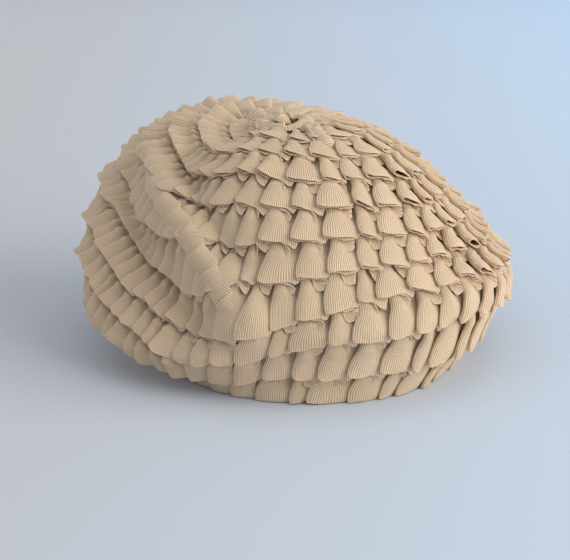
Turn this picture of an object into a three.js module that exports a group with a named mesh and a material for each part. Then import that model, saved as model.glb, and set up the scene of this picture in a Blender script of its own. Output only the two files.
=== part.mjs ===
// Slouchy beret of pleated grosgrain ribbon, in millimetres, +Z up, standing on its head opening.
// A cloth crown, hollow and open below, carries rings of knife-pleated ribbon that lap like shingles
// from a folded twist at the top down to the hem. The back of the hat faces -Y. It slouches low at
// the back and on the left (-X), stands high in front (+Y), and has one long fold across the left.
import * as THREE from "three";

// Cloth and ribbon
const CLOTH = 2; // wall of the crown
const DEPTH = 6.5; // of the crown under the outside of the ribbon
const HEM_DEPTH = 4.5; // and at the hem
const RIBBON = 1; // wall of the ribbon, a little over its real half millimetre
const PITCH = 18.4; // mean width of one pleat along a row
const NECK_HEIGHT = 1.5; // how far the pleats stand out where they are sewn
const FREE_HEIGHT = 4.4; // and at their free edge
const GAP = 0.9; // between the crown and the rows sewn on it
const FREE_LEVEL = 5.2; // lift of the free edge, clear of the next row's pleats
const LAST_LEVEL = 2.4; // the same for the last row, which has none under it
const LAP = 2.6; // how far a row reaches over the next one
const LAST_LAP = -1.3; // the last row ends short of the hem
const FLOOR_CLEARANCE = 0.3; // under the last row, so that the crown's hem carries the hat

// Rows, counted from the top
const UPPER_ROWS = 8; // from the twist to the slouched edge
const LOWER_ROWS = 3; // from the slouched edge to the hem
const ROWS = UPPER_ROWS + LOWER_ROWS;
const ROW_TURN = 41; // degrees that each row is turned on, so that no pleats line up
const SECTORS = 48; // facets of the crown around the hat

// Twist at the top: its share of the first row's width, and the ripple of its folds
const TWIST = { share: 0.36, folds: 7, height: 6, dip: 2.2, lean: 22 };

// Middle of the top. Each knot of a meridian leans towards it by its share, from the top to the hem.
const TOP = { x: -4, y: 12, z: 136 };
const LEAN = [1, 0.9, 0.7, 0.45, 0.3, 0.15, 0.05, 0];

// Meridians of the hat's outside, over the ribbon, one for each 30 degrees from +X round by +Y: the
// radius and height of six knots, the radius of the hem, the length from the top to the last upper
// row, and how far the middle rows are drawn up to the top.
const KNOTS = ["shoulder", "slope", "shelf", "edge", "tuck", "band"];
const COLUMNS = [...KNOTS.flatMap((knot) => [knot + "Radius", knot + "Height"]), "hem", "upper", "drawn"];
const MERIDIANS = [
  [42, 131, 73, 108, 102, 77, 128, 48, 119, 31, 103, 14, 92, 163, 0],
  [40, 132, 70, 115, 98, 90, 123, 63, 115, 46, 102, 22, 89, 162, 0],
  [38, 133, 69, 123, 96, 106, 117, 87, 113, 64, 102, 32, 89, 162, 0],
  [37, 134, 69, 129, 95, 121, 114, 107, 112, 82, 101, 42, 92, 164, 0],
  [39, 134, 73, 132, 102, 126, 125, 114, 118, 86, 102, 42, 90, 172, 0],
  [41, 133, 77, 125, 109, 112, 132, 88, 122, 66, 99, 32, 86, 173, 2],
  [41, 130, 76, 111, 107, 82, 126, 53, 117, 35, 96, 16, 84, 163, 6],
  [41, 128, 73, 101, 98, 62, 117, 28, 110, 17, 95, 10, 84, 164, 12],
  [41, 128, 72, 101, 94, 60, 107, 28, 102, 18, 93, 10, 86, 168, 8],
  [41, 128, 73, 102, 93, 69, 103, 43, 98, 31, 93, 14, 91, 153, 0],
  [42, 129, 74, 103, 96, 72, 110, 47, 107, 32, 101, 14, 96, 151, 0],
  [42, 130, 75, 105, 101, 74, 124, 49, 117, 32, 106, 14, 96, 156, 0],
].map((row) => Object.fromEntries(row.map((value, i) => [COLUMNS[i], value])));

// Folds and dents: the line each one follows over the hat (azimuth in degrees, length from the top),
// how far it stands out of the cloth, and how wide it is to each side.
const FOLDS = [
  { name: "long fold", line: [[172, 86], [206, 91], [226, 104], [242, 124], [256, 150]], out: 6, width: 10 },
  { name: "hollow outside it", line: [[178, 110], [198, 119], [218, 132], [238, 152]], out: -5, width: 11 },
  { name: "hollow inside it", line: [[190, 70], [212, 78], [230, 92], [244, 110]], out: -3, width: 8 },
  { name: "dip beside the top", line: [[130, 40], [200, 34]], out: -4, width: 12 },
  { name: "dent at the right", line: [[318, 168], [350, 172]], out: -4, width: 9 },
];
const FOLD_RADIUS = 85; // turns a fold's azimuth into millimetres along the cloth
const HEM_ZONE = 45; // length over which the folds fade out above the hem

// One knife pleat, as the corners of its ribbon, at the sewn neck and at the free edge. "Along" is in
// pitches, "out" in heights, and "reach" is how far the free corner hangs beyond the row's edge.
const PLEAT = [
  { corner: "outer fold", neckAlong: 0.14, neckOut: 0.9, freeAlong: 0, freeOut: 0.95, reach: 2.6 },
  { corner: "end of the face", neckAlong: 0.64, neckOut: 0.95, freeAlong: 0.78, freeOut: 0.85, reach: 0 },
  { corner: "foot of the face", neckAlong: 0.86, neckOut: 0, freeAlong: 1.12, freeOut: 0.08, reach: -1.4 },
  { corner: "inner fold", neckAlong: 1.32, neckOut: 0.05, freeAlong: 1.48, freeOut: 0.12, reach: 0 },
];

const vector = (x, y, z) => new THREE.Vector3(x, y, z);
const { lerp, clamp, smoothstep, euclideanModulo, degToRad } = THREE.MathUtils;

// A smooth curve through four values, from the second to the third.
function throughFour(a, b, c, d, t) {
  const quadratic = 2 * a - 5 * b + 4 * c - d;
  const cubic = 3 * b - a - 3 * c + d;
  return 0.5 * (2 * b + (c - a) * t + quadratic * t * t + cubic * t * t * t);
}

// A column of the meridian table at any azimuth.
function around(azimuth, column) {
  const turn = (azimuth / 360) * MERIDIANS.length;
  const first = Math.floor(turn);
  const value = (step) => MERIDIANS[euclideanModulo(first + step, MERIDIANS.length)][column];
  return throughFour(value(-1), value(0), value(1), value(2), turn - first);
}

// The meridian at an azimuth as a polyline from the top to the hem, with the length at each point.
const STEPS_PER_KNOT = 12;
const meridians = new Map();
function meridian(azimuth) {
  const key = azimuth.toFixed(4);
  if (!meridians.has(key)) meridians.set(key, makeMeridian(azimuth));
  return meridians.get(key);
}

function makeMeridian(azimuth) {
  const cos = Math.cos(degToRad(azimuth));
  const sin = Math.sin(degToRad(azimuth));
  const radii = [0, ...KNOTS.map((knot) => around(azimuth, knot + "Radius")), around(azimuth, "hem")];
  const heights = [TOP.z, ...KNOTS.map((knot) => around(azimuth, knot + "Height")), 0];
  const knots = radii.map((r, i) => vector(TOP.x * LEAN[i] + r * cos, TOP.y * LEAN[i] + r * sin, heights[i]));
  const before = vector(2 * TOP.x - knots[1].x, 2 * TOP.y - knots[1].y, knots[1].z);
  const after = knots.at(-1).clone().multiplyScalar(2).sub(knots.at(-2));
  const controls = [before, ...knots, after];

  const points = [];
  for (let i = 1; i < knots.length; i++) {
    for (let step = 0; step < STEPS_PER_KNOT; step++) {
      const four = (axis) => controls.slice(i - 1, i + 3).map((control) => control[axis]);
      const at = (axis) => throughFour(...four(axis), step / STEPS_PER_KNOT);
      points.push(vector(at("x"), at("y"), at("z")));
    }
  }
  points.push(knots.at(-1));
  const lengths = [0];
  for (let i = 1; i < points.length; i++) {
    lengths.push(lengths[i - 1] + points[i].distanceTo(points[i - 1]));
  }
  return { points, lengths, total: lengths.at(-1) };
}

// The hat's outside at a length along the meridian, without its folds.
function outside(azimuth, length) {
  const { points, lengths } = meridian(azimuth);
  const next = lengths.findIndex((reached, i) => i > 0 && (reached >= length || i === lengths.length - 1));
  const t = (length - lengths[next - 1]) / (lengths[next] - lengths[next - 1]);
  return points[next - 1].clone().lerp(points[next], t);
}

// Height of all folds and dents at a place on the hat.
function foldHeight(azimuth, length) {
  const flat = ([turn, down]) => new THREE.Vector2(degToRad(turn) * FOLD_RADIUS, down);
  const here = flat([azimuth, length]);
  const distance = (from, to) => {
    const along = flat(to).sub(flat(from));
    const t = clamp(here.clone().sub(flat(from)).dot(along) / along.lengthSq(), 0, 1);
    return flat(from).addScaledVector(along, t).distanceTo(here);
  };
  return FOLDS.reduce((height, fold) => {
    const away = Math.min(...fold.line.slice(1).map((to, i) => distance(fold.line[i], to))) / fold.width;
    return height + fold.out * Math.exp(-away * away);
  }, 0);
}

// A point of the crown's outer face, with its outward normal, which is level at the hem.
const PROBE = { length: 1.5, azimuth: 2 }; // distance to the neighbours that give the normal
function crownPoint(azimuth, length) {
  const { total } = meridian(azimuth);
  const above = outside(azimuth, Math.max(length - PROBE.length, 0));
  const below = outside(azimuth, Math.min(length + PROBE.length, total));
  const beside = outside(azimuth + PROBE.azimuth, length).sub(outside(azimuth - PROBE.azimuth, length));
  const normal = below.sub(above).cross(beside);
  if (length >= total) normal.setZ(0);
  normal.normalize();
  const fromHem = smoothstep(total - length, 0, HEM_ZONE);
  const out = foldHeight(azimuth, length) * fromHem - lerp(HEM_DEPTH, DEPTH, fromHem);
  return { point: outside(azimuth, length).addScaledVector(normal, out), normal };
}

// The length from the top to a row's edge. Row 0 is the top and the last row ends at the hem.
function rowEdge(row, azimuth) {
  const upper = around(azimuth, "upper");
  if (row > UPPER_ROWS) return lerp(upper, meridian(azimuth).total, (row - UPPER_ROWS) / LOWER_ROWS);
  const drawn = around(azimuth, "drawn") * Math.sin((Math.PI * row) / UPPER_ROWS);
  return (upper * row) / UPPER_ROWS - drawn;
}

// A closed mesh from rings of points, each joined to the next by a strip of triangles. A ring of one
// point closes the strip. Diagonals of the other strips run as "split" says: forward, back, or where
// they lie deeper in the hat.
const HEART = vector(0, 0, 60); // a point that every part of the crown looks away from
function joinRings(rings, strips) {
  const points = rings.flat();
  const starts = rings.map((_, i) => rings.slice(0, i).flat().length);
  const isDeeper = ([a, b], [c, d]) => {
    const depth = (i, j) => points[i].clone().lerp(points[j], 0.5).distanceTo(HEART);
    return depth(a, b) < depth(c, d);
  };

  const triangles = [];
  strips.forEach(({ from, to, split }) => {
    const count = Math.max(rings[from].length, rings[to].length);
    const on = (ring, i) => starts[ring] + (i % rings[ring].length);
    for (let i = 0; i < count; i++) {
      const [a, b, c, d] = [on(from, i), on(from, i + 1), on(to, i + 1), on(to, i)];
      const back = split === "back" || (split === "deeper" && isDeeper([b, d], [a, c]));
      if (a === b) triangles.push([a, c, d]);
      else if (c === d) triangles.push([a, b, c]);
      else if (back) triangles.push([a, b, d], [b, c, d]);
      else triangles.push([a, b, c], [a, c, d]);
    }
  });

  const volume = triangles.reduce(
    (sum, [a, b, c]) => sum + points[a].dot(points[b].clone().cross(points[c])),
    0,
  );
  const faces = volume < 0 ? triangles.map(([a, b, c]) => [a, c, b]) : triangles;
  const geometry = new THREE.BufferGeometry().setFromPoints(points);
  geometry.setIndex(faces.flat());
  geometry.computeVertexNormals();
  return geometry;
}

const oneToTheNext = (rings, split) => rings.slice(1).map((_, i) => ({ from: i, to: i + 1, split }));

// Cloth crown: an outer and an inner skin from the top to a flat hem.
function crownRing(row, depth) {
  return Array.from({ length: SECTORS }, (_, i) => {
    const azimuth = (360 * i) / SECTORS;
    const { point, normal } = crownPoint(azimuth, rowEdge(row, azimuth));
    return point.addScaledVector(normal, -depth);
  });
}

function makeCrown() {
  const skin = (depth) => {
    const top = [vector(TOP.x, TOP.y, TOP.z - DEPTH - depth)];
    return [top, ...Array.from({ length: ROWS }, (_, i) => crownRing(i + 1, depth))];
  };
  const rings = [...skin(0), ...skin(CLOTH).reverse()];
  return joinRings(rings, oneToTheNext(rings, "deeper"));
}

// A point on the crown's facets, on the line of a row's edge, so that the rows sit on them.
const crownRings = Array.from({ length: ROWS + 1 }, (_, row) => crownRing(row || TWIST.share, 0));
function onFacet(line, azimuth) {
  const turn = (azimuth / 360) * SECTORS;
  const first = Math.floor(turn);
  const corner = (i) => crownRings[line][euclideanModulo(i, SECTORS)];
  return corner(first).clone().lerp(corner(first + 1), turn - first);
}

// The ribbon's middle line along one edge of a row, bent into pleats: x runs along the row and y out
// of the crown.
function pleatLine(pleats, pitch, edge, level, height) {
  const corners = [];
  for (let n = 0; n < pleats; n++) {
    PLEAT.forEach((pleat) => {
      const along = (n + pleat[edge + "Along"]) * pitch;
      corners.push(new THREE.Vector2(along, level + pleat[edge + "Out"] * height));
    });
  }
  return corners;
}

// One face of the ribbon: its middle line pushed to one side by half the wall. Each corner moves along
// the bisector of its two neighbours, no further than a blunt mitre.
const MITRE = 1.5;
function ribbonFace(corners, girth, side) {
  return corners.map((corner, i) => {
    const before = corners.at(i - 1).clone();
    const after = corners[(i + 1) % corners.length].clone();
    if (i === 0) before.x -= girth;
    if (i === corners.length - 1) after.x += girth;
    const into = corner.clone().sub(before).normalize();
    const out = after.sub(corner).normalize();
    const bisector = new THREE.Vector2(-into.y - out.y, into.x + out.x);
    const mitre = Math.min(2 / bisector.length(), MITRE);
    return corner.clone().addScaledVector(bisector.normalize(), (side * mitre * RIBBON) / 2);
  });
}

// One row of pleated ribbon, sewn along the row line above it and free along the line below.
function makeRow(row) {
  const ring = crownRings[row];
  const girth = ring.reduce((sum, point, i) => sum + point.distanceTo(ring[(i + 1) % ring.length]), 0);
  const pleats = Math.round(girth / PITCH);
  const pitch = girth / pleats;
  const isLast = row === ROWS;
  const azimuthOf = (corner) => (360 * corner.x) / girth + row * ROW_TURN;

  const atNeck = (corner) => {
    const azimuth = azimuthOf(corner);
    const { normal } = crownPoint(azimuth, rowEdge(row === 1 ? TWIST.share : row - 1, azimuth));
    return onFacet(row - 1, azimuth).addScaledVector(normal, corner.y);
  };
  const atFreeEdge = (corner, i) => {
    const azimuth = azimuthOf(corner);
    const { normal } = crownPoint(azimuth, rowEdge(row, azimuth));
    const point = onFacet(row, azimuth);
    const down = point.clone().sub(onFacet(row - 1, azimuth)).normalize();
    const reach = PLEAT[i % PLEAT.length].reach + (isLast ? LAST_LAP : LAP);
    point.addScaledVector(down, reach).addScaledVector(normal, corner.y);
    point.z = Math.max(point.z, FLOOR_CLEARANCE);
    return point;
  };

  const neck = pleatLine(pleats, pitch, "neck", GAP + RIBBON / 2, NECK_HEIGHT);
  const free = pleatLine(pleats, pitch, "free", isLast ? LAST_LEVEL : FREE_LEVEL, FREE_HEIGHT);
  const rings = [
    ribbonFace(neck, girth, 1).map(atNeck),
    ribbonFace(free, girth, 1).map(atFreeEdge),
    ribbonFace(free, girth, -1).map(atFreeEdge),
    ribbonFace(neck, girth, -1).map(atNeck),
  ];
  return joinRings(rings, [
    { from: 0, to: 1, split: "forward" },
    { from: 1, to: 2, split: "forward" },
    { from: 2, to: 3, split: "back" },
    { from: 3, to: 0, split: "forward" },
  ]);
}

// The end of the ribbon, folded into a small twist that closes the top.
function makeTwist() {
  const rim = (share, lift, ripple) =>
    Array.from({ length: 2 * TWIST.folds }, (_, i) => {
      const azimuth = (180 * i) / TWIST.folds + TWIST.lean * share;
      const { point, normal } = crownPoint(azimuth, rowEdge(TWIST.share, azimuth) * share);
      return point.addScaledVector(normal, lift - (i % 2) * ripple);
    });
  const centre = (lift) => [vector(TOP.x, TOP.y, TOP.z - DEPTH + lift)];
  const rings = [
    centre(TWIST.height - TWIST.dip),
    rim(0.45, TWIST.height, TWIST.dip),
    rim(0.82, 0.75 * TWIST.height, TWIST.dip),
    rim(0.85, GAP, 0),
    centre(GAP),
  ];
  return joinRings(rings, oneToTheNext(rings, "forward"));
}

const grosgrain = () => new THREE.MeshStandardMaterial({ color: 0xd9c2a0, roughness: 0.85, metalness: 0 });
const cloth = () => new THREE.MeshStandardMaterial({ color: 0xcbb594, roughness: 0.95, metalness: 0 });

const beret = new THREE.Group();
function add(name, geometry, material) {
  const mesh = new THREE.Mesh(geometry, material);
  mesh.name = name;
  beret.add(mesh);
}

add("crown", makeCrown(), cloth());
add("top_twist", makeTwist(), grosgrain());
for (let row = 1; row <= ROWS; row++) {
  add("ruffle_row_" + String(row).padStart(2, "0"), makeRow(row), grosgrain());
}

// The origin is under the middle of the hat's box, on the surface it stands on.
const middle = new THREE.Box3().setFromObject(beret).getCenter(vector(0, 0, 0));
beret.position.set(-middle.x, -middle.y, 0);

export default beret;
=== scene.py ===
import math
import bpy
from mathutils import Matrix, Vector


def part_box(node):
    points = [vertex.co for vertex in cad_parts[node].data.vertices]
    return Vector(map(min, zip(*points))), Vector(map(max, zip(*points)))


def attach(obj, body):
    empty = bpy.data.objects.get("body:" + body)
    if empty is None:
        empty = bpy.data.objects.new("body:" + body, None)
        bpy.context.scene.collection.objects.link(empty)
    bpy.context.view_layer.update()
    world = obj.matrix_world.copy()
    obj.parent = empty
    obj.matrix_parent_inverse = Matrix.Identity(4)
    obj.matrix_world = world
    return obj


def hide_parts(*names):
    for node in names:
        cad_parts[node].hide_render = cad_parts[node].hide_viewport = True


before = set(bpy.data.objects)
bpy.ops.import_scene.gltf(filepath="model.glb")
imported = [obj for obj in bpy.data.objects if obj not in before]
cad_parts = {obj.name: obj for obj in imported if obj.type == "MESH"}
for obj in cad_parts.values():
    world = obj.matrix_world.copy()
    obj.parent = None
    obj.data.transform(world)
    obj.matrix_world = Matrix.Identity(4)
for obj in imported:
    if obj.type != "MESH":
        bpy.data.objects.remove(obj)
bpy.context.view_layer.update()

# %% [markdown]
# # A slouchy beret of pleated ribbon
# The hat is a soft cloth crown with eleven rings of knife-pleated grosgrain ribbon sewn on it, from a
# folded twist at the top down to the hem, lapping like shingles. Everything here is in metres where
# it meets Blender, and in millimetres where it is measured on the hat, because ribbon is sold in them.

# %% Tools and the millimetre
from types import SimpleNamespace
import bpy
import numpy as np

MM = 0.001

# %% [markdown]
# ## Camera
# The hat is seen from behind and 17 degrees above, from about 0.9 m with a portrait lens, which keeps
# its far rim visible over its top. The hat sits high in the picture, so the camera is turned down by
# two degrees, rather than the lens being shifted, which would follow into every other view.

# %% Camera at the photograph's angle
PICTURE = (570, 560)  # pixels
FOCAL = 1525.4  # pixels
AIMED = (297.0, 229.4)  # pixel that the middle of the hat falls on
EYE = (-0.0006, -0.8698, 0.3351)
RAISED = 17  # degrees

camera = bpy.data.cameras.new("portrait_lens")
camera.sensor_fit = "HORIZONTAL"
camera.sensor_width = 36
camera.lens = FOCAL * camera.sensor_width / PICTURE[0]
camera.clip_start = 0.05
viewer = bpy.data.objects.new("viewer", camera)
bpy.context.scene.collection.objects.link(viewer)
down = math.radians(RAISED) + math.atan((PICTURE[1] / 2 - AIMED[1]) / FOCAL)
left = math.atan((AIMED[0] - PICTURE[0] / 2) / FOCAL)
viewer.location = EYE
viewer.rotation_euler = (math.pi / 2 - down, 0, left)
bpy.context.scene.camera = viewer
print("lens, mm:", round(camera.lens, 1), "pitch, degrees:", round(math.degrees(down), 2))

# %% [markdown]
# ## The hat's outside
# A soft hat has no straight line in it, so its shape is kept as a table: twelve meridians, thirty
# degrees apart, each with the radius and height of six knots on the way from the top to the hem. A
# smooth curve goes through the knots, and through each column around the hat. It could be sculpted
# instead, but a table can be read, and the ribbon can be laid on it by length, as it is sewn.

# %% Meridians of the outside, in millimetres
# Radius and height of shoulder, slope, shelf, edge, tuck and band, the hem's radius, the length from
# the top to the last upper row, and how far the middle rows are drawn up to the top.
MERIDIANS = np.array([
    [42, 131, 73, 108, 102, 77, 128, 48, 119, 31, 103, 14, 92, 158, -2],
    [40, 132, 70, 115, 98, 90, 123, 63, 115, 46, 102, 22, 89, 162, 0],
    [38, 133, 69, 123, 96, 106, 117, 87, 113, 64, 102, 32, 89, 162, 0],
    [37, 134, 69, 129, 95, 121, 114, 107, 112, 82, 101, 42, 92, 163, 0],
    [39, 134, 73, 132, 102, 126, 125, 114, 118, 86, 102, 42, 90, 168, 0],
    [41, 133, 77, 125, 109, 112, 132, 88, 122, 66, 99, 32, 86, 157, 0],
    [41, 130, 76, 111, 107, 82, 126, 53, 117, 35, 96, 16, 84, 139, 0],
    [41, 128, 73, 101, 98, 62, 117, 28, 110, 17, 95, 10, 84, 145, 4],
    [41, 128, 72, 101, 94, 60, 107, 28, 102, 18, 93, 10, 86, 158, 17],
    [41, 128, 73, 102, 93, 69, 103, 43, 98, 31, 93, 14, 91, 146, 9],
    [42, 129, 74, 103, 96, 72, 110, 47, 107, 32, 101, 14, 96, 142, 2],
    [42, 130, 75, 105, 101, 74, 124, 49, 117, 32, 106, 14, 96, 147, -4],
], float)
HEM, UPPER, DRAWN = 12, 13, 14  # its last three columns
TOP = np.array([-4, 12, 136])
LEAN = np.array([1, 0.9, 0.7, 0.45, 0.3, 0.15, 0.05, 0])  # share of TOP that each knot leans by


def through_four(a, b, c, d, t):
    quadratic = 2 * a - 5 * b + 4 * c - d
    cubic = 3 * b - a - 3 * c + d
    return 0.5 * (2 * b + (c - a) * t + quadratic * t * t + cubic * t ** 3)


def around(azimuth):
    turn = np.asarray(azimuth) / 360 * len(MERIDIANS)
    first = np.floor(turn).astype(int)
    four = [MERIDIANS[(first + step) % len(MERIDIANS)] for step in (-1, 0, 1, 2)]
    return through_four(*four, (turn - first)[..., None])


def by_azimuth(azimuth, table):
    """Value at each azimuth, from a pair: azimuths, and the values at them."""
    return np.interp(np.mod(azimuth, 360), *table)


DEGREES = np.arange(360)
table = around(DEGREES)
print("rim radius by meridian, mm:", MERIDIANS[:, 6])

# %% The outside as a fine grid: one line a degree, 240 steps from the top to the hem
STEPS = 240
BETWEEN = 24  # points of the curve from knot to knot
facing = np.stack([np.cos(np.radians(DEGREES)), np.sin(np.radians(DEGREES))], 1)
radii = np.concatenate([np.zeros((360, 1)), table[:, 0:12:2], table[:, HEM:HEM + 1]], 1)
heights = np.concatenate([np.full((360, 1), TOP[2]), table[:, 1:12:2], np.zeros((360, 1))], 1)
knots = np.concatenate([
    radii[..., None] * facing[:, None] + LEAN[:, None] * TOP[:2],
    heights[..., None],
], 2)
before = np.concatenate([2 * TOP[:2] - knots[:, 1, :2], knots[:, 1, 2:]], 1)[:, None]
after = (2 * knots[:, -1] - knots[:, -2])[:, None]
controls = np.concatenate([before, knots, after], 1)

curve = [
    through_four(*(controls[:, i + k] for k in range(4)), t)
    for i in range(knots.shape[1] - 1)
    for t in np.arange(0, 1, 1 / BETWEEN)
]
curve = np.stack([*curve, knots[:, -1]], 1)
reached = np.cumsum(np.linalg.norm(np.diff(curve, axis=1), axis=2), 1)
reached = np.concatenate([np.zeros((360, 1)), reached], 1)
TOTAL = reached[:, -1]
LENGTHS = TOTAL[:, None] * np.linspace(0, 1, STEPS + 1)
WHOLE = (np.arange(361), np.append(TOTAL, TOTAL[0]))  # length to the hem, by azimuth
outside = np.stack([
    np.stack([np.interp(LENGTHS[i], reached[i], curve[i, :, axis]) for axis in range(3)], 1)
    for i in range(360)
])
print("length from top to hem, mm:", TOTAL.min().round(), "to", TOTAL.max().round())

# %% [markdown]
# ## Folds, and the cloth under the ribbon
# One long fold runs down the left of the hat, with a hollow to each side. The folds are ridges along
# lines drawn over the cloth, added along the surface's own direction. The crown is then sunk under
# the outside by the height of the pleats, as the ribbon adds it again. Where the rim is sharper than
# the crown lies deep, the sunk grid would cross itself, so it is smoothed from the top to the hem.

# %% Folds and dents
# Each is a line of (azimuth in degrees, length from the top), how far it stands out, and its width.
FOLDS = [
    ([(172, 86), (206, 91), (226, 104), (242, 124), (256, 150)], 6, 10),  # long fold
    ([(178, 110), (198, 119), (218, 132), (238, 152)], -5, 11),  # hollow outside it
    ([(190, 70), (212, 78), (230, 92), (244, 110)], -3, 8),  # hollow inside it
    ([(130, 40), (200, 34)], -4, 12),  # dip beside the top
    ([(318, 168), (350, 172)], -4, 9),  # dent at the right
]
FOLD_RADIUS = 85  # turns a fold's azimuth into millimetres along the cloth
HEM_ZONE = 45  # length over which the folds fade out above the hem
DEPTH, HEM_DEPTH = 6.5, 4.5  # of the crown under the outside of the ribbon


def fold_height(azimuth, length):
    here = np.stack([np.radians(azimuth) * FOLD_RADIUS, length], -1)
    height = np.zeros(length.shape)
    for line, out, width in FOLDS:
        corners = [np.array([math.radians(turn) * FOLD_RADIUS, at]) for turn, at in line]
        away = np.full(length.shape, np.inf)
        for start, end in zip(corners, corners[1:]):
            along = end - start
            t = np.clip((here - start) @ along / (along @ along), 0, 1)
            away = np.minimum(away, np.linalg.norm(here - start - t[..., None] * along, axis=-1))
        height += out * np.exp(-((away / width) ** 2))
    return height


def smooth(t):
    t = np.clip(t, 0, 1)
    return t * t * (3 - 2 * t)


def rise(v, start, end):
    """Smoothly from 0 at start to 1 at end."""
    return smooth((v - start) / (end - start))


def outward(grid):
    """Outward direction at each point of a grid that closes around the hat."""
    across = np.gradient(grid, axis=1)
    around_hat = np.roll(grid, -2, 0) - np.roll(grid, 2, 0)
    normal = np.cross(across, around_hat)
    normal[:, :3] = normal[:, 3:4].mean(0)  # at the pole all lines meet
    return normal / np.linalg.norm(normal, axis=2, keepdims=True)


base_normal = outward(outside)
base_normal[:, -1, 2] = 0
base_normal[:, -1] /= np.linalg.norm(base_normal[:, -1], axis=1, keepdims=True)
from_hem = smooth((TOTAL[:, None] - LENGTHS) / HEM_ZONE)
lift = fold_height(DEGREES[:, None] + 0 * LENGTHS, LENGTHS) * from_hem
lift -= HEM_DEPTH + (DEPTH - HEM_DEPTH) * from_hem
crown = outside + base_normal * lift[..., None]
print("crown radius at the hem, mm:", np.hypot(*crown[:, -1, :2].T).mean().round(1))

# %% The frame's place: the table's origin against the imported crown's
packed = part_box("crown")
half = [crown[..., axis].max() + crown[..., axis].min() for axis in (0, 1)]
SHIFT = np.array([
    (packed[0][0] + packed[1][0]) / 2 / MM - half[0] / 2,
    (packed[0][1] + packed[1][1]) / 2 / MM - half[1] / 2,
    0,
])
print("table to frame, mm:", SHIFT.round(2))

# %% The sunk crown smoothed at the rim
PASSES = 40


def smoothed(grid):
    for _ in range(PASSES):
        grid = grid.copy()
        grid[:, 1:-1] = grid[:, 1:-1] / 2 + (grid[:, 2:] + grid[:, :-2]) / 4
    return grid


crown = smoothed(crown)
crown_normal = smoothed(outward(crown))
hem_way = crown[:, -1] - crown[:, -4]
hem_way /= np.linalg.norm(hem_way, axis=1, keepdims=True)
print("rim smoothed over, mm:", round(float(math.sqrt(PASSES / 2) * TOTAL.mean() / STEPS), 1))


# %% A place on the crown, by azimuth, length from the top, and height over the cloth
def on_crown(azimuth, length, out=0.0):
    turn = np.mod(azimuth, 360)
    line = np.floor(turn).astype(int) % 360
    following = (line + 1) % 360
    share = turn - np.floor(turn)
    total = TOTAL[line] * (1 - share) + TOTAL[following] * share
    down_it = np.clip(length / total, 0, 1) * STEPS
    step = np.minimum(np.floor(down_it).astype(int), STEPS - 1)
    step_share = (down_it - step)[..., None]
    share = share[..., None]

    def read(grid):
        one = grid[line, step] * (1 - step_share) + grid[line, step + 1] * step_share
        other = grid[following, step] * (1 - step_share) + grid[following, step + 1] * step_share
        return one * (1 - share) + other * share

    normal = read(crown_normal)
    normal /= np.linalg.norm(normal, axis=-1, keepdims=True)
    beyond = np.maximum(length - total, 0)[..., None] * hem_way[line]
    return read(crown) + normal * np.asarray(out)[..., None] + beyond


print("crown 100 mm down its back, mm:", on_crown(np.array([270.0]), np.array([100.0])).round(1))

# %% Edges of the rows
ROWS, UPPER_ROWS = 11, 8
CLOSE_ROW = 16  # mm between the lower rows at the left, where they are sewn closest
CLOSE_SIDE = ([150, 178, 216, 240], [0, 1, 1, 0])


def row_edge(row, azimuth):
    """Length from the top to a row's edge. Row 0 is the top and row 11 ends at the hem."""
    columns = around(np.mod(azimuth, 360))
    upper = columns[..., UPPER]
    total = by_azimuth(azimuth, WHOLE)
    if row == ROWS:
        return total
    if row > UPPER_ROWS:
        low_row = (total - upper) / (ROWS - UPPER_ROWS)
        close = smooth(by_azimuth(azimuth, CLOSE_SIDE))
        return upper + (row - UPPER_ROWS) * (low_row + (CLOSE_ROW - low_row) * close)
    drawn = columns[..., DRAWN] * math.sin(math.pi * row / UPPER_ROWS)
    return upper * row / UPPER_ROWS - drawn


for row in (1, 8, 11):
    print("row", row, "ends at, mm:", row_edge(row, np.arange(0, 360, 90)).round())


# %% [markdown]
# ## Small helpers
# An operator acts on everything selected, so one helper selects a single piece. The next turns a hex
# colour, as a colour picker shows it, to the linear values that Blender mixes. One more adds a node
# with its settings and links, and the last starts a material.

# %% Helpers for pieces and materials
def only(piece):
    bpy.ops.object.select_all(action="DESELECT")
    piece.select_set(True)
    bpy.context.view_layer.objects.active = piece


def linear(hex_colour):
    values = [int(hex_colour[i:i + 2], 16) / 255 for i in (1, 3, 5)]
    return [v / 12.92 if v <= 0.04045 else ((v + 0.055) / 1.055) ** 2.4 for v in values] + [1]


def node(material, kind, inputs=(), **settings):
    """Adds a node. Inputs are (socket, value or another node's output)."""
    tree = material.node_tree
    made = tree.nodes.new("ShaderNode" + kind)
    for name, value in settings.items():
        setattr(made, name, value)
    for socket, value in inputs:
        if isinstance(value, bpy.types.NodeSocket):
            tree.links.new(value, made.inputs[socket])
        else:
            made.inputs[socket].default_value = value
    return made


def new_material(name, roughness):
    material = bpy.data.materials.new(name)
    material.use_nodes = True
    surface = material.node_tree.nodes["Principled BSDF"]
    surface.inputs["Roughness"].default_value = roughness
    return material, surface


print("a mid grey is", round(linear("#808080")[0], 3), "linear")

# %% [markdown]
# ## Ribbon: grosgrain
# Grosgrain is a plain weave with a thick weft, so fine ribs run across the ribbon. A ribbon 25 mm
# wide has a rib about every millimetre. To the eye it is nearly matt, with a soft sheen off the rib
# tops and a thin dark line in every groove, and both are painted into its colour as well: painted
# sheen on the rib tops and painted shade in the grooves. The ribs are drawn on the ribbon's own map,
# which counts millimetres along and across it, so that they follow each pleat.

# %% Grosgrain: where its ribs, threads and patches are
RIB = 1.02  # mm
RIBBON_WIDTH = 25  # mm
RIBBON_MAP = "ribbon_mm"

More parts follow.
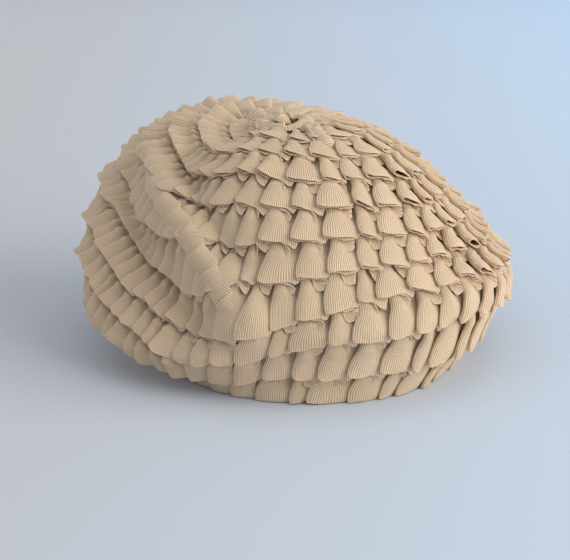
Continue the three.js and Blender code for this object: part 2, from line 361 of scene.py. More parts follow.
grosgrain, surface = new_material("grosgrain_woven_cotton_blend", 0.72)
ribbon_place = node(grosgrain, "UVMap", uv_map=RIBBON_MAP)
axes = node(grosgrain, "SeparateXYZ", [("Vector", ribbon_place.outputs["UV"])])
turned = node(grosgrain, "Math", [(0, axes.outputs["X"]), (1, 2 * math.pi / RIB)], operation="MULTIPLY")
wave = node(grosgrain, "Math", [(0, turned.outputs["Value"])], operation="COSINE")
rib = node(grosgrain, "MapRange", [("Value", wave.outputs["Value"]), ("From Min", -1.0),
                                   ("From Max", 1.0)])
threads = node(grosgrain, "TexNoise", [("Vector", ribbon_place.outputs["UV"]), ("Scale", 0.9),
                                       ("Detail", 2.0)])
place = node(grosgrain, "TexCoord")
patches = node(grosgrain, "TexNoise", [("Vector", place.outputs["Object"]), ("Scale", 38.0),
                                       ("Detail", 2.0)])
print("grosgrain ribs every", RIB, "mm")

# %% Grosgrain: its colours
# Cream, with painted shade between the ribs and a painted sheen on their tops, faded in soft
# patches, and paler in its last 0.8 mm: the woven edge, with painted light where the free edge catches
# it.
GROOVE_SHADE, CREST_SHEEN = linear("#bd9e79"), linear("#f4dbc0")
WORN, CLEAN = linear("#e6d9cf"), linear("#fff8f1")
# paler woven edge, and painted light where the free edge catches it
SELVEDGE_AND_EDGE_LIGHT = linear("#f8eddb")
WEAR = 0.55

# painted light and shade of the ribs: darker in the grooves, lighter on the rib tops
rib_shaded = node(grosgrain, "Mix", [("Factor", rib.outputs["Result"]), ("A", GROOVE_SHADE), ("B", CREST_SHEEN)],
              data_type="RGBA")
faded = node(grosgrain, "Mix", [("Factor", patches.outputs["Fac"]), ("A", WORN), ("B", CLEAN)],
             data_type="RGBA")
aged = node(grosgrain, "Mix", [("Factor", WEAR), ("A", rib_shaded.outputs["Result"]),
                               ("B", faded.outputs["Result"])],
            data_type="RGBA", blend_type="MULTIPLY")
uneven = node(grosgrain, "MapRange", [("Value", threads.outputs["Fac"]), ("To Min", 0.9),
                                      ("To Max", 1.08)])
shaded = node(grosgrain, "Mix", [("Factor", 1.0), ("A", aged.outputs["Result"]),
                                 ("B", uneven.outputs["Result"])],
              data_type="RGBA", blend_type="MULTIPLY")
# the free edge's last 0.8 mm is paler: the woven edge, together with painted light on that edge
at_edge = node(grosgrain, "MapRange", [("Value", axes.outputs["Y"]), ("From Min", RIBBON_WIDTH - 0.8),
                                       ("From Max", RIBBON_WIDTH + 0.2), ("To Max", 0.2)])
edged = node(grosgrain, "Mix", [("Factor", at_edge.outputs["Result"]),
                                ("A", shaded.outputs["Result"]), ("B", SELVEDGE_AND_EDGE_LIGHT)],
             data_type="RGBA")
grosgrain.node_tree.links.new(edged.outputs["Result"], surface.inputs["Base Color"])
print("grosgrain nodes:", len(grosgrain.node_tree.nodes))

# %% Grosgrain: how it takes the light
# Nearly matt, with a sheen off its fibres, and thin enough that light spreads a little inside it.
surface.inputs["IOR"].default_value = 1.5
surface.inputs["Specular IOR Level"].default_value = 0.35
surface.inputs["Subsurface Weight"].default_value = 0.5
surface.inputs["Subsurface Radius"].default_value = (1.0, 0.75, 0.5)
surface.inputs["Subsurface Scale"].default_value = 0.003
surface.inputs["Sheen Weight"].default_value = 0.25
surface.inputs["Sheen Roughness"].default_value = 0.45
surface.inputs["Sheen Tint"].default_value = linear("#fff1dc")
relief = node(grosgrain, "Math", [(0, rib.outputs["Result"]), (1, threads.outputs["Fac"])],
              operation="ADD")
bump = node(grosgrain, "Bump", [("Height", relief.outputs["Value"]), ("Strength", 0.65),
                                ("Distance", 0.00024)])
grosgrain.node_tree.links.new(bump.outputs["Normal"], surface.inputs["Normal"])
print("grosgrain roughness:", round(surface.inputs["Roughness"].default_value, 2))

# %% [markdown]
# ## Crown: plain-woven cotton
# The crown carries the rows and shows only in the bottoms of the pleats and inside the hat. It is
# plain cotton cloth: matt, with a fine square weave, a little darker than the ribbon. Its threads,
# about 0.5 mm apart, are drawn 1 mm apart so that they show at all. Two crossed wave patterns make
# the weave, and their higher one shows, as the thread on top does.

# %% Crown cloth material
THREAD = 1.0  # mm
WAVE_LENGTH = 0.314  # of a wave pattern of scale 1
IN_THE_WEAVE, ON_THREADS = linear("#8d7656"), linear("#c2aa86")

cotton, surface = new_material("plain_woven_cotton", 0.9)
surface.inputs["Specular IOR Level"].default_value = 0.25
surface.inputs["Sheen Weight"].default_value = 0.2
cloth_place = node(cotton, "UVMap", uv_map=RIBBON_MAP)
checks = [
    node(cotton, "TexWave", [("Vector", cloth_place.outputs["UV"]), ("Scale", WAVE_LENGTH / THREAD),
                             ("Distortion", 0.4), ("Detail Scale", 2.0)],
         bands_direction=direction)
    for direction in ("X", "Y")
]
weave = node(cotton, "Math", [(0, checks[0].outputs["Fac"]), (1, checks[1].outputs["Fac"])],
             operation="MAXIMUM")
woven = node(cotton, "Mix", [("Factor", weave.outputs["Value"]), ("A", IN_THE_WEAVE),
                             ("B", ON_THREADS)],
             data_type="RGBA")
cotton.node_tree.links.new(woven.outputs["Result"], surface.inputs["Base Color"])
bump = node(cotton, "Bump", [("Height", weave.outputs["Value"]), ("Strength", 0.5),
                             ("Distance", 0.0002)])
cotton.node_tree.links.new(bump.outputs["Normal"], surface.inputs["Normal"])
print("cotton weave every", THREAD, "mm")

# %% [markdown]
# ## A sheet laid on the hat
# Both the crown and every row of ribbon start as a flat grid, as cloth does, with one side going
# around the hat. A function says where each point of the sheet goes. The two ends are then merged
# into a ring, and a Solidify modifier gives the cloth its thickness, with both sides facing out.

# %% Flat grid to closed ring
def ring_of_cloth(name, columns, lines, lay, thickness, offset, material):
    """lay(u, v) gives points and map coordinates, in mm, for u around and v down, both 0 to 1."""
    bpy.ops.object.select_all(action="DESELECT")
    bpy.ops.mesh.primitive_grid_add(x_subdivisions=columns, y_subdivisions=lines, size=1,
                                    location=(0, 0, 0))
    piece = bpy.context.object
    piece.name = piece.data.name = name
    mesh = piece.data
    flat = np.empty(3 * len(mesh.vertices))
    mesh.vertices.foreach_get("co", flat)
    flat = flat.reshape(-1, 3)
    points, chart = lay(flat[:, 0] + 0.5, 0.5 - flat[:, 1])
    mesh.vertices.foreach_set("co", ((points + SHIFT) * MM).ravel())

    corners = np.empty(len(mesh.loops), int)
    mesh.loops.foreach_get("vertex_index", corners)
    mesh.uv_layers[0].name = RIBBON_MAP
    mesh.uv_layers[0].uv.foreach_set("vector", chart[corners].ravel())
    mesh.materials.append(material)

    only(piece)
    bpy.ops.object.mode_set(mode="EDIT")
    bpy.ops.mesh.select_all(action="SELECT")
    bpy.ops.mesh.remove_doubles(threshold=1e-6)
    bpy.ops.object.mode_set(mode="OBJECT")
    solid = piece.modifiers.new("thickness", "SOLIDIFY")
    solid.thickness = thickness * MM
    solid.offset = offset
    solid.use_rim = True
    bpy.ops.object.modifier_apply(modifier=solid.name)
    bpy.ops.object.shade_smooth_by_angle(angle=math.radians(50))
    return piece


def report(piece):
    triangles = sum(len(face.vertices) - 2 for face in piece.data.polygons)
    low, high = np.array(piece.bound_box)[[0, 6]] / MM
    print(piece.name, "triangles:", triangles, "from", low.round(), "to", high.round())


# %% Crown: one dome of cloth, open at the hem
CLOTH = 2.0  # mm
CROWN_MAP = (90, 200)  # radius that the cloth's map is unrolled at, and its length, in mm


def lay_crown(u, v):
    azimuth = 360 * u
    points = on_crown(azimuth, v * by_azimuth(azimuth, WHOLE))
    return points, np.stack([np.radians(azimuth) * CROWN_MAP[0], v * CROWN_MAP[1]], 1)


crown_piece = ring_of_cloth("crown_cloth_dome", 144, 90, lay_crown,
                            thickness=CLOTH, offset=-1, material=cotton)
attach(crown_piece, "root")
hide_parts("crown")
report(crown_piece)

# %% [markdown]
# ## One knife pleat
# Seen from the end, a pleat is a flattened S: a face that lies outwards, a layer that goes on under
# the next face, an inner fold, and a return up to the next face's fold. At the sewn edge all this is
# gathered into a narrow neck with a valley beside it. Further down the face flares like a bell, and
# at the free edge it stands off, while the layer under it hangs lower and shows as a half-moon.
# Three closed outlines hold this, and the ribbon blends from each to the next on its way down.

# %% Outlines of a pleat
# Along the row in pitches, out of the crown in heights, and how much further down it hangs in mm.
NECK_OUTLINE = np.array([
    [0.22, 0.66, 0], [0.26, 0.94, 0], [0.43, 1.06, 0], [0.60, 0.94, 0], [0.69, 0.62, 0], [0.78, 0.28, 0],
    [0.92, 0.06, 0], [1.08, 0.00, 0], [1.19, 0.06, 0], [1.24, 0.22, 0], [1.24, 0.44, 0],
])
BELLY_OUTLINE = np.array([
    [0.00, 0.64, 0], [0.03, 0.90, 0], [0.22, 1.02, 0], [0.47, 0.94, 0], [0.74, 0.74, 0], [1.00, 0.42, 0],
    [1.28, 0.14, 0], [1.56, 0.04, 0], [1.72, 0.14, 0], [1.58, 0.32, 0], [1.22, 0.48, 0],
])
FREE_OUTLINE = np.array([
    [-0.03, 0.74, -0.3], [0.00, 1.06, -0.7], [0.18, 1.02, 0.2], [0.46, 0.84, 0.6], [0.74, 0.60, 0.7],
    [1.02, 0.30, 0.5], [1.38, 0.06, 0.5], [1.78, 0.00, 0.9], [1.97, 0.22, 1.0], [1.80, 0.46, 0.9],
    [1.36, 0.46, 0.8],
])


def outline(corners, t):
    """A point for each t, where one pleat is one whole number."""
    count = len(corners)
    place_in = t * count
    first = np.floor(place_in).astype(int)

    def corner(step):
        pleat, i = np.divmod(first + step, count)
        return corners[i] + np.stack([pleat, 0 * pleat, 0 * pleat], -1)

    return through_four(*(corner(step) for step in (-1, 0, 1, 2)), (place_in - first)[..., None])


PITCH = 17.0  # mm
FREE_HEIGHT = 4.6  # mm
sample = outline(FREE_OUTLINE, np.linspace(0, 1, 45))[:, :2] * [PITCH, FREE_HEIGHT]
used = np.linalg.norm(np.diff(sample, axis=0), axis=1).sum()
print("ribbon used by a pleat", PITCH, "mm wide:", used.round(1), "mm")

# %% [markdown]
# ## Rows of pleats
# Pleats are counted along each row: about 17 mm apart where the hat lies smooth, and 10 mm apart
# down its left side, where the slouch gathers them. So a place in a row is measured in pleats, as a
# turn of 360 for the whole row, and tables turn that into degrees around the hat and back.

# %% Pleats counted along each row
# By row: millimetres along it, its number of pleats, and its turn, at each azimuth. Row 0 is the top.
AZIMUTHS = np.arange(361.0)
GATHERED = np.interp(AZIMUTHS, [0, 90, 150, 178, 222, 248, 264, 290, 325, 360],
                     [1.1, 1.2, 1.5, 1.75, 1.7, 1.25, 1.08, 1.0, 1.05, 1.1])
ARCS, PLEATS, COUNTED = [AZIMUTHS], [0], [AZIMUTHS]
for row in range(1, ROWS + 1):
    edge = on_crown(AZIMUTHS, row_edge(row, AZIMUTHS))
    steps = np.linalg.norm(np.diff(edge, axis=0), axis=1)
    counted = np.append(0, np.cumsum(steps * (GATHERED[1:] + GATHERED[:-1]) / 2))
    ARCS.append(np.append(0, np.cumsum(steps)))
    PLEATS.append(round(counted[-1] / PITCH))
    COUNTED.append(counted / counted[-1] * 360)
print("pleats in each row:", PLEATS[1:])


# %% From a turn in a row to degrees around the hat, and back
def azimuth_at(row, turn):
    return np.interp(np.mod(turn, 360), COUNTED[row], AZIMUTHS) + 360 * np.floor(turn / 360)


def turn_at(row, azimuth):
    return np.interp(np.mod(azimuth, 360), AZIMUTHS, COUNTED[row]) + 360 * np.floor(azimuth / 360)


print("half of row 8 ends at azimuth", azimuth_at(8, 180).round())

# %% Rows turned against each other
# Each starts so that, where the hat shows most, a neck comes out beside the fold above it.
FIRST_TURN, BEST_SEEN = 41, 287  # degrees
NECK_AT, BESIDE = 0.43, 0.30  # place of a neck in its own pleat, and in the pleat above it
turns = [0, FIRST_TURN]
for row in range(1, ROWS):
    pleat = 360 / PLEATS[row]
    seen = turn_at(row, BEST_SEEN)
    beside = turns[row] + (math.floor((seen - turns[row]) / pleat) + BESIDE) * pleat
    turns.append(turn_at(row + 1, azimuth_at(row, beside)) - NECK_AT * 360 / PLEATS[row + 1])
print("rows turned by, degrees:", [round(turn % 360) for turn in turns[1:]])

# %% [markdown]
# ## No two pleats alike
# Pleats folded by hand are never alike, so each gets some of its own width, height, hang and swing
# from a fixed list of random numbers. Whole sides of the hat differ as well: the left is gathered and
# low, the right is puffed up and stands off, the far rim has higher folds, and the long fold pulls the
# ribbon smooth. The seed of the random numbers is fixed, so that the hat comes out the same each time.

# %% A pleat's own sizes
OWN = {"width": 0.08, "height": 0.14, "hang": 0.8, "swing": 0.08}  # pleats, shares, mm, pleats
LESS_EVEN = 1.2  # times as much in the first two rows
FRAY, FRAYS = 0.25, 9  # mm that the free edge goes in and out, and how often in a pleat
random = np.random.default_rng(11)


def uneven_list(count, amount):
    """One random value a pleat, and a smooth value between them, closed around the row."""
    values = random.normal(0, amount, count)
    values -= values.mean()
    return lambda t: through_four(
        *(values[(np.floor(t).astype(int) + step) % count] for step in (-1, 0, 1, 2)),
        t - np.floor(t),
    )


def own_sizes(row):
    """A row's uneven lists, drawn in a fixed order."""
    times = LESS_EVEN if row < 3 else 1
    own = {size: uneven_list(PLEATS[row], amount * times) for size, amount in OWN.items()}
    own["fray"] = uneven_list(PLEATS[row] * FRAYS, FRAY)
    return own


print("each pleat has its own:", ", ".join(OWN))

# %% Sides of the hat: azimuths, and the values at them
LEFT = ([140, 170, 222, 250], [0, 1, 1, 0])  # where the hat slouches
FLARED = ([0, 40, 90, 165, 200, 300, 330, 360], [1, 0.6, 0.15, 0.15, 0, 0.1, 0.9, 1])
TEETH = ([50, 90, 205, 235], [0, 0.3, 0.3, 0])  # how much higher folds are on the far and left rims
# Pleats by which the free edge is pulled aside, so that the pleats lean to the left
SLANTED = ([0, 30, 100, 200, 290, 320, 345, 360], [0.4, 0.3, 0, 0, 0, 0.4, 0.45, 0.4])
FLARED_ROWS = ([2, 4, 10, 11], [0, 1, 1, 0.3])  # rows, and their share
CALM_WIDTH, CALM_END = 10, 8  # mm beside the long fold, and degrees past its ends


def on_long_fold(azimuth, length):
    """1 on the long fold, down to 0 beside it."""
    line = np.array(FOLDS[0][0])
    at = np.interp(np.mod(azimuth, 360), line[:, 0], line[:, 1])
    beyond = np.maximum(np.abs(np.mod(azimuth, 360) - line[:, 0].mean()) - np.ptp(line[:, 0]) / 2, 0)
    return np.exp(-((length - at) / CALM_WIDTH) ** 2 - (beyond / CALM_END) ** 2)


print("azimuth 200 is at the left by", by_azimuth(200, LEFT), "and flared by", by_azimuth(200, FLARED))

# %% [markdown]
# ## One row of ribbon
# A row is a strip of ribbon, gathered at its sewn edge and free at the other, where it laps over the
# next row: its lower layer rides over the necks there and hangs into the valleys between. A flat grid
# could be pleated by a cloth simulation, but hundreds of folds would tangle. So each point's place is
# worked out in four steps: along the row, up from the crown, over the next row, and down the hat.

# %% Sizes that change from row to row
LAP, LAST_LAP, TUCK = 1.2, -1.0, 1.0  # mm past a row's edges
TOP_HOLE = 5  # mm from the top to the first row's sewn edge
FREE_LEVEL, LAST_LEVEL, LAST_HEIGHT = 4.3, 2.2, 4.0  # mm
GROWN = ([1, 4], [0.55, 1])  # rows, and the share of their height that folds have
LOWER = ([1, 4], [1.4, 0])  # rows, and mm by which their free edges lie lower


def row_edges(row, azimuth):
    """Lengths from the top to a row's sewn edge and to its free edge."""
    sewn = row_edge(row - 1, azimuth) - TUCK if row > 1 else TOP_HOLE + 0 * azimuth
    return sewn, row_edge(row, azimuth) + (LAST_LAP if row == ROWS else LAP)


def free_level(row):
    """How far off the crown the free edge's lowest layer lies."""
    return LAST_LEVEL if row == ROWS else FREE_LEVEL - np.interp(row, *LOWER)


def free_height(row):
    """How high its folds stand there."""
    return LAST_HEIGHT if row == ROWS else FREE_HEIGHT * np.interp(row, *GROWN)


print("height of folds by row, mm:", [round(float(free_height(row)), 1) for row in (1, 2, 3, 4, ROWS)])

# %% Ribbon in one pleat, and even steps along it
FINE = np.linspace(0, 1, 400)


def pleat_path(pitch, height):
    """Length of ribbon in a pleat, and the place on its outline after each share of that length."""
    path = outline(FREE_OUTLINE, FINE)[:, :2] * [pitch, height]
    along_path = np.append(0, np.cumsum(np.linalg.norm(np.diff(path, axis=0), axis=1)))
    return along_path[-1], np.interp(FINE * along_path[-1], along_path, FINE)


print("ribbon in a low pleat, mm:", pleat_path(PITCH, LAST_HEIGHT)[0].round(1))

# %% First step: along the row
# v goes across the ribbon, from 0 at its sewn edge to 1 at its free edge.
NECK_END, BELLY_AT = 0.12, 0.78
CORNER, CORNER_FROM = 0.06, 0.86  # the fold's end is rounded off by so many pleats, from so far on
UNDER = 0.6  # share of the height that the under layer reaches up to


def section_at(t, v):
    """A pleat's outline, on its way from the neck's over the belly's to the free edge's."""
    flare = rise(v, NECK_END, BELLY_AT)[:, None]
    opened = rise(v, BELLY_AT, 1)[:, None]
    neck, belly, free = (
        outline(corners, t) for corners in (NECK_OUTLINE, BELLY_OUTLINE, FREE_OUTLINE)
    )
    return (neck * (1 - flare) + belly * flare) * (1 - opened) + free * opened


def azimuth_of(here):
    """Where around the hat each point comes, with its pleat's own width and swing."""
    own, pleat, count = here.own, here.pleat, len(FREE_OUTLINE)
    along = pleat + own["width"](pleat) + own["swing"](pleat) * here.v
    from_fold = np.mod(here.t * count + count // 2, count) - count / 2  # in corners of the outline
    along += CORNER * np.exp(-(from_fold ** 2)) * rise(here.v, CORNER_FROM, 1) ** 2
    sewn_at = azimuth_at(here.row, 360 * along / PLEATS[here.row] + turns[here.row])
    along -= by_azimuth(sewn_at, SLANTED) * here.v
    return azimuth_at(here.row, 360 * along / PLEATS[here.row] + turns[here.row])


print("a pleat reaches, in pleats:", FREE_OUTLINE[:, 0].min(), "to", FREE_OUTLINE[:, 0].max())

# %% Second step: how high the folds stand
NECK_HEIGHT, BELLY_HEIGHT = 3.1, 4.2  # mm
BULGE, BULGE_AT, BULGE_WIDTH = 1.0, 0.34, 0.09  # mm, and shares of the ribbon's width
FLAT = 0.75  # share of the last row's height that it loses at the left, where it is tucked under
WIDER, WIDER_FROM = 0.4, 0.4  # how much higher flared folds are at their free edge, and from where
TEETH_FROM, TEETH_ROW = 0.3, 4  # the teeth grow from here across the ribbon, and down to this row
PUFF = 1.9  # mm by which flared faces are rounder
SMALLER = 0.25  # share by which the left side's necks are lower
CALM = 0.6  # share that the long fold takes off


def height_of(here):
    """Height of the folds over the lowest layer, with the pleat's own share."""
    v, left_side, flared = here.v, here.left_side, here.flared
    heights = np.array([NECK_HEIGHT, NECK_HEIGHT, BELLY_HEIGHT, FREE_HEIGHT])
    height = np.interp(v, [0, NECK_END, BELLY_AT, 1], heights * (free_height(here.row) / FREE_HEIGHT))
    height += BULGE * (1 + left_side) * np.exp(-(((v - BULGE_AT) / BULGE_WIDTH) ** 2))
    height *= (1 - FLAT * here.tucked) * (1 + WIDER * flared * rise(v, WIDER_FROM, 1))
    height += PUFF * flared * np.sin(math.pi * v)
    height *= (1 - SMALLER * left_side * (1 - v)) * here.calm
    teeth = by_azimuth(here.azimuth, TEETH) * min(here.row / TEETH_ROW, 1)
    height *= 1 + teeth * rise(v, TEETH_FROM, 1)
    return height * (1 + here.own["height"](here.pleat))


print("folds' heights, mm:", NECK_HEIGHT, BELLY_HEIGHT, FREE_HEIGHT)

# %% Third step: over the next row's necks, and into its valleys
NECK_RISE, VALLEY_RISE = 1.5, 1.0  # mm
MOON = 0.07  # pleats that the part in a valley lies to the left of its middle
MOON_ROWS = ([8, 9, 10, 11], [1, 0.85, 0.85, 0])  # rows, and their share
NECK_LEVEL, LEVEL_CURVE = 2.0, 1.4  # mm, and how late the ribbon leaves that level
RIDDEN, RIDE_ACROSS = 0.15, (0.7, 0.95)  # the upper layer's share of a ride, and where it sets in
VALLEY_FROM = 0.45  # of the wave, from which on down a point counts as in a valley
FLARE, FLARE_ACROSS = 1.4, (0.5, 1.1)  # mm by which flared edges stand off, and where it sets in


def next_row_wave(row, azimuth, beside=0.0):
    """1 over each neck of the next row, and -1 over each valley."""
    if row == ROWS:
        return 0 * azimuth
    below = turn_at(row + 1, azimuth) - turns[row + 1]
    return np.cos(2 * math.pi * (below * PLEATS[row + 1] / 360 - NECK_AT + beside))


def over_next_row(here):
    """Shares by which a point lies over a neck, and over a valley."""
    neck, moon = (next_row_wave(here.row, here.azimuth, beside) for beside in (0.0, MOON))
    over_neck = np.maximum(neck, 0) * (1 - here.tucked) * here.calm
    over_valley = smooth(VALLEY_FROM - moon) * (1 - here.tucked) * here.calm
    return over_neck, over_valley * np.interp(here.row, *MOON_ROWS)


def level_of(here):
    """How far off the crown the lowest layer lies."""
    ride = here.over_neck * NECK_RISE + here.over_valley * VALLEY_RISE
    level = NECK_LEVEL + (free_level(here.row) - NECK_LEVEL) * here.v ** LEVEL_CURVE
    level += ride * (RIDDEN + (1 - RIDDEN) * here.under) * rise(here.v, *RIDE_ACROSS)
    return level + FLARE * here.flared * rise(here.v, *FLARE_ACROSS) ** 2


print("row 8 over row 9 at azimuth 270:", next_row_wave(8, 270.0).round(2))

# %% Fourth step: down the hat
NECK_LIFT, VALLEY_HANG = 4.0, 7.0  # mm up over the next row's necks, and down into its valleys
CLOSED = 0.9  # share of both that the gathered left side loses
LAST_HANG = 0.3  # the last row's share of the hang in the outline
HANG_FROM, FRAY_FROM = 0.4, 0.8  # shares of the ribbon's width
HIGHEST = 0.5  # mm from the top, past which nothing is pulled


def length_of(here):
    """Length from the top of the hat to each point."""
    hang = outline(FREE_OUTLINE, here.t)[:, 2] * (LAST_HANG if here.row == ROWS else 1)
    pulled = here.over_valley * VALLEY_HANG - here.over_neck * NECK_LIFT
    hang += here.under * pulled * (1 - CLOSED * here.left_side)
    frayed = here.own["fray"](here.t * FRAYS) * rise(here.v, FRAY_FROM, 1)
    hang += (1 - here.tucked) * (here.own["hang"](here.pleat) + frayed)
    length = here.start + (here.end - here.start) * here.v + hang * rise(here.v, HANG_FROM, 1)
    return np.maximum(length, HIGHEST)


print("half-moons hang lower by up to, mm:", VALLEY_HANG)

# %% The steps put together
# here holds what is known of each point so far, and each step reads it.
SHARPER = 0.45  # the ribbon's own share on top of the crown's folds
LOWEST = 0.75  # mm over the ground
NARROWEST = 12  # mm, the least that a pleat's width counts as


def places_in_row(row, own, even, u, v):
    """Places, in mm, of points at u around the row and v across its ribbon, both 0 to 1."""
    t = u * PLEATS[row]
    here = SimpleNamespace(row=row, own=own, v=v)
    here.t = np.floor(t) + np.interp(t - np.floor(t), FINE, even)
    here.pleat, share, _ = section_at(here.t, v).T
    here.under = 1 - smooth(share / UNDER)
    here.azimuth = azimuth_of(here)
    here.start, here.end = row_edges(row, here.azimuth)
    here.calm = 1 - CALM * on_long_fold(here.azimuth, here.start + (here.end - here.start) * v)
    here.left_side = smooth(by_azimuth(here.azimuth, LEFT))
    here.tucked = here.left_side if row == ROWS else 0
    here.flared = by_azimuth(here.azimuth, FLARED) * np.interp(row, *FLARED_ROWS)
    here.over_neck, here.over_valley = over_next_row(here)
    length = length_of(here)
    out = level_of(here) + share * height_of(here)
    out += SHARPER * fold_height(np.mod(here.azimuth, 360), length)
    points = on_crown(here.azimuth, length, out)
    points[:, 2] = np.maximum(points[:, 2], LOWEST)
    return points


print("lowest ribbon, mm:", LOWEST)

# %% One ring of ribbon
SAMPLES, LINES = 32, 15  # points along one pleat, and across the ribbon
THICKNESS = 0.6  # mm


def ribbon_ring(row, name, node_name):
    """Makes one row, and gives the length of the ribbon in it."""
    girth = ARCS[row][-1]
    pitch = max(girth / PLEATS[row], NARROWEST)
    own = own_sizes(row)
    pleat_length, even = pleat_path(pitch, free_height(row))

    def lay(u, v):
        turn = np.mod(azimuth_at(row, 360 * u), 360)
        laid = np.where(u < 1, np.interp(turn, AZIMUTHS, ARCS[row]), girth)
        chart = np.stack([laid * pleat_length / pitch, v * RIBBON_WIDTH], 1)
        return places_in_row(row, own, even, u, v), chart

    piece = ring_of_cloth(name, PLEATS[row] * SAMPLES, LINES, lay, THICKNESS, 0, grosgrain)
    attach(piece, "root")
    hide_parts(node_name)
    report(piece)
    return PLEATS[row] * pleat_length


ribbon_used = 0
for row in range(1, ROWS + 1):
    ribbon_used += ribbon_ring(row, "ribbon_row_%02d" % row, "ruffle_row_%02d" % row)
print("ribbon in the rows, m:", round(ribbon_used / 1000, 2))

# %% [markdown]
# ## Strips: the long fold and the twist
# Down the long fold the ribbon is pulled over the ridge, so it shows as one band with its ribs across
# it. At the top the ribbon's last length is wound into a flat snail, its tail runs down the hat, and
# its tip is folded into a small pocket. All are strips of the same ribbon that follow a line on the
# hat, arched over their width. Only the pocket closes around its line, into a flat cone.

# %% A smooth line through points of (azimuth, length from the top)
RIDGE = [(182, 88), (206, 92), (226, 105), (241, 124), (254, 148)]  # along the long fold


def along_line(line, u):
    values = np.array(line, float)
    place_in = u * (len(values) - 1)
    first = np.minimum(np.floor(place_in).astype(int), len(values) - 2)
    four = [values[np.clip(first + step, 0, len(values) - 1)] for step in (-1, 0, 1, 2)]
    return through_four(*four, (place_in - first)[:, None]).T


print("middle of the long fold:", along_line(RIDGE, np.array([0.5])).round().T[0])

# %% A strip along a line
STEP = 1.5  # mm, where one of its folds laps over the next
STRAY = 0.7  # mm that its folds stray to the sides
END = 0.15  # share of its length in which each end narrows and goes down
NARROWED, SUNK = 0.4, 3  # share of its width, and mm, at the very ends
ROUND = 0.8  # how flat its arch is on top
STRIP_LINES = 16
NEAR = 0.02  # share of its length, to the points ahead and behind that give its direction


def strip(name, line, width, base, arch, folds, columns):
    """base and arch: heights over the crown of its edges, and of its middle over them."""
    fine = on_crown(*along_line(line, np.linspace(0, 1, 200)))
    long = np.linalg.norm(np.diff(fine, axis=0), axis=1).sum()
    stray = uneven_list(folds + 2, STRAY)

    def lay(u, v):
        azimuth, length = along_line(line, u)
        middle = on_crown(azimuth, length)
        normal = on_crown(azimuth, length, 1.0 + 0 * u) - middle
        ahead, behind = (on_crown(*along_line(line, np.clip(u + d, 0, 1))) for d in (NEAR, -NEAR))
        side = np.cross(ahead - behind, normal)
        side /= np.linalg.norm(side, axis=1, keepdims=True)
        ends = smooth(u / END) * smooth((1 - u) / END)
        step = STEP * (0.5 - (u * folds - np.floor(u * folds)))
        across = (v - 0.5) * width * (1 - NARROWED + NARROWED * ends) + stray(u * folds) + step
        out = np.interp(u, [0, 1], base) - SUNK * (1 - ends)
        out += (arch + step) * np.cos((v - 0.5) * math.pi) ** ROUND
        chart = np.stack([u * long, v * RIBBON_WIDTH], 1)
        return middle + side * across[:, None] + normal * out[:, None], chart

    return ring_of_cloth(name, columns, STRIP_LINES, lay, THICKNESS, 0, grosgrain), long


print("a strip's folds lap, mm:", STEP)

# %% Band down the long fold
fold_band, fold_long = strip("ribbon_long_fold", RIDGE, width=12.5, base=(6.4, 6.2),
                             arch=2.4, folds=8, columns=180)
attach(fold_band, "root")
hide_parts("ruffle_row_07")
report(fold_band)

# %% Twist: snail, tail and pocket
SNAIL = [(250 - 45 * k, 1.6 + 1.55 * k) for k in range(12)]
TAIL = [(330, 9), (310, 24), (303, 44)]
POCKET = [(311, 19.0), (293, 37.0)]  # from its mouth to its tip
POCKET_WIDE = np.array([0.9, 0.45])  # the way that its mouth is wide, seen from above
POCKET_GIRTH, POCKET_LEVEL = 30, 4.6  # mm
MOUTH, TIP = 4.6, 0.4  # radius in mm
FLATNESS, PUCKER = 0.28, 0.7  # share of the radius, and mm that the mouth goes in and out


def lay_pocket(u, v):
    azimuth, length = along_line(POCKET, v)
    radius = MOUTH * (1 - v) ** 0.7 + TIP
    turned = 2 * math.pi * u
    pucker = PUCKER * np.sin(3 * turned) * (1 - v)
    out = POCKET_LEVEL + radius * FLATNESS * (1 + np.sin(turned)) + pucker
    points = on_crown(azimuth, length, out)
    points[:, :2] += (radius * np.cos(turned))[:, None] * POCKET_WIDE
    return points, np.stack([u * POCKET_GIRTH, v * RIBBON_WIDTH], 1)


snail, snail_long = strip("ribbon_twist", SNAIL, width=8, base=(7.0, 3.2),
                          arch=2.2, folds=7, columns=220)
tail, tail_long = strip("ribbon_tail", TAIL, width=10, base=(4.2, 5.2),
                        arch=2.2, folds=4, columns=70)
pocket = ring_of_cloth("ribbon_pocket", 48, STRIP_LINES, lay_pocket, THICKNESS, 0, grosgrain)
only(snail)
for part in (tail, pocket):
    part.select_set(True)
bpy.ops.object.join()
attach(snail, "root")
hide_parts("top_twist")
report(snail)
ribbon_used += fold_long + snail_long + tail_long + POCKET_GIRTH
print("ribbon in all, m:", round(ribbon_used / 1000, 2))

# %% [markdown]
# ## Surroundings
# The hat stands on a plain pale floor that curves up into a wall, as a roll of paper does in a studio.
# It is a plane with one edge pulled up and the corner rounded by a Bevel modifier. Its paint is matt,
# and light is painted into its colour: greyer at the left, bluer to the right and lighter to the back.

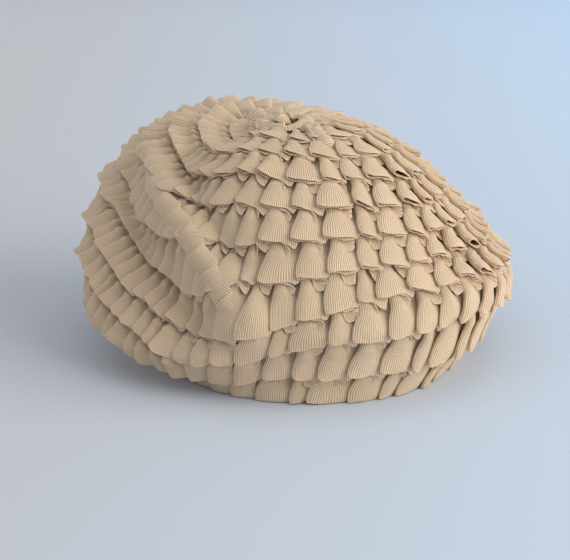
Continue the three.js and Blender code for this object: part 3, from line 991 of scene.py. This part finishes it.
# %% Floor and backdrop
FLOOR_SIDE, WALL_HEIGHT, COVE = 8, 5, 1.5  # m
MIDDLE = (0, 1, 0)
bpy.ops.object.select_all(action="DESELECT")
bpy.ops.mesh.primitive_plane_add(size=FLOOR_SIDE, location=MIDDLE)
floor = bpy.context.object
floor.name = "studio_floor"
only(floor)
bpy.ops.object.mode_set(mode="EDIT")
bpy.ops.mesh.select_all(action="DESELECT")
bpy.ops.object.mode_set(mode="OBJECT")
for edge in floor.data.edges:
    edge.select = all(floor.data.vertices[i].co.y > FLOOR_SIDE * 0.4 for i in edge.vertices)
bpy.ops.object.mode_set(mode="EDIT")
bpy.ops.mesh.select_mode(type="EDGE")
bpy.ops.mesh.extrude_region_move(TRANSFORM_OT_translate={"value": (0, 0, WALL_HEIGHT)})
bpy.ops.object.mode_set(mode="OBJECT")
bevel = floor.modifiers.new("cove", "BEVEL")
bevel.width = COVE
bevel.segments = 12
bpy.ops.object.modifier_apply(modifier=bevel.name)
bpy.ops.object.shade_smooth()
print("floor faces:", len(floor.data.polygons))

# %% Matt paint
# painted light on the backdrop: greyer at the left, bluer to the right where the window's light falls
GREY_PAINTED_SHADE, BLUE_PAINTED_LIGHT = linear("#d6d5d6"), linear("#d2e9ff")
paint, surface = new_material("matt_pale_paint", 0.9)
where = node(paint, "TexCoord")
across = node(paint, "SeparateXYZ", [("Vector", where.outputs["Object"])])
to_right = node(paint, "MapRange", [("Value", across.outputs["X"]), ("From Min", -0.3),
                                    ("From Max", 0.4)])
# painted light: darker at the front, lighter to the back
painted_light_to_back = node(paint, "MapRange", [("Value", across.outputs["Y"]), ("From Min", -0.9),
                                   ("From Max", 0.2), ("To Min", 0.86), ("To Max", 1.1)])
tint = node(paint, "Mix", [("Factor", to_right.outputs["Result"]), ("A", GREY_PAINTED_SHADE), ("B", BLUE_PAINTED_LIGHT)],
            data_type="RGBA")
tint = node(paint, "Mix", [("Factor", 1.0), ("A", tint.outputs["Result"]),
                           ("B", painted_light_to_back.outputs["Result"])],
            data_type="RGBA", blend_type="MULTIPLY")
paint.node_tree.links.new(tint.outputs["Result"], surface.inputs["Base Color"])
floor.data.materials.append(paint)
print("paint nodes:", len(paint.node_tree.nodes))

# %% [markdown]
# ## Light
# A large soft window at the right does most of the work. A weak one at the left, a wide and weak
# ceiling light and a cool glow from all around keep the shadows in the pleats open. Each light is
# turned to its aim by two angles: the fall of the line to it, and that line's way on the floor.

# %% Soft light
def soft_light(name, place, aim, size, power, colour):
    lamp = bpy.data.lights.new(name, "AREA")
    lamp.shape = "RECTANGLE"
    lamp.size, lamp.size_y = size
    lamp.energy = power
    lamp.color = linear(colour)[:3]
    holder = bpy.data.objects.new(name, lamp)
    bpy.context.scene.collection.objects.link(holder)
    holder.location = place
    way = np.array(aim) - place
    fall = math.acos(-way[2] / np.linalg.norm(way))
    holder.rotation_euler = (fall, 0, math.atan2(way[1], way[0]) - math.pi / 2)


# place, aim and size in metres, power in watts, colour
soft_light("window", (1.6, -0.65, 0.7), (0, 0, 0.06), (1.9, 1.6), 35, "#fff8f1")
soft_light("far_window", (-1.5, -0.3, 1.0), (0, 0, 0.08), (1.2, 1.2), 2.2, "#fbf6f2")
soft_light("ceiling", (0.1, 0.0, 1.8), (0, 0, 0), (2.2, 2.2), 4.5, "#fff6ea")

# %% Light from all around
world = bpy.data.worlds.new("studio_air")
world.use_nodes = True
background = world.node_tree.nodes["Background"]
background.inputs["Color"].default_value = linear("#e0e7f0")
background.inputs["Strength"].default_value = 0.7
bpy.context.scene.world = world
bpy.context.scene.view_settings.view_transform = "Standard"
print("light from all around:", round(background.inputs["Strength"].default_value, 2))
